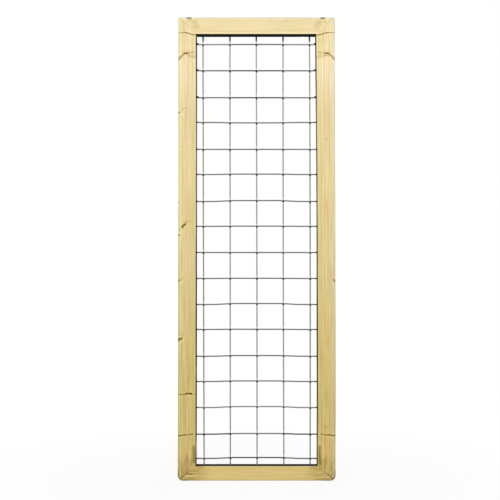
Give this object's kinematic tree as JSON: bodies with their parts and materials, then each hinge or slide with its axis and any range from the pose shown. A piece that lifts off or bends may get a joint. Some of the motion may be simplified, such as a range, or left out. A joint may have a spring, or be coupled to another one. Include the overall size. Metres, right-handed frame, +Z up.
{
  "type": "trellis panel",
  "caption": "Tall mitred softwood frame that holds a square welded wire mesh in a groove, as a climbing frame for plants.",
  "frame": {"origin": "middle of the bottom edge, at half the width and half the thickness", "axes": "+Z up the panel, +X to the right seen from the front, -Y towards the front, where the cross wires lie"},
  "size_m": [0.6, 0.045, 1.77],
  "materials": {
    "pine": "planed pressure-treated pine, pale yellow with a faint green tint, matt",
    "galvanised_wire": "galvanised drawn wire, dull grey zinc",
    "beech": "turned beech dowel",
    "screw_steel": "yellow zinc plated steel"
  },
  "bodies": {
    "root": {"left_stile": "pine", "right_stile": "pine", "top_rail": "pine", "bottom_rail": "pine", "upright_wire_1": "galvanised_wire", "upright_wire_2": "galvanised_wire", "upright_wire_3": "galvanised_wire", "upright_wire_4": "galvanised_wire", "upright_wire_5": "galvanised_wire", "cross_wire_1": "galvanised_wire", "cross_wire_2": "galvanised_wire", "cross_wire_3": "galvanised_wire", "cross_wire_4": "galvanised_wire", "cross_wire_5": "galvanised_wire", "cross_wire_6": "galvanised_wire", "cross_wire_7": "galvanised_wire", "cross_wire_8": "galvanised_wire", "cross_wire_9": "galvanised_wire", "cross_wire_10": "galvanised_wire", "cross_wire_11": "galvanised_wire", "cross_wire_12": "galvanised_wire", "cross_wire_13": "galvanised_wire", "cross_wire_14": "galvanised_wire", "cross_wire_15": "galvanised_wire", "cross_wire_16": "galvanised_wire", "cross_wire_17": "galvanised_wire", "top_left_dowels": "beech", "top_right_dowels": "beech", "bottom_left_dowels": "beech", "bottom_right_dowels": "beech", "top_left_screws": "screw_steel", "top_right_screws": "screw_steel", "bottom_left_screws": "screw_steel", "bottom_right_screws": "screw_steel"}
  },
  "joints": []
}
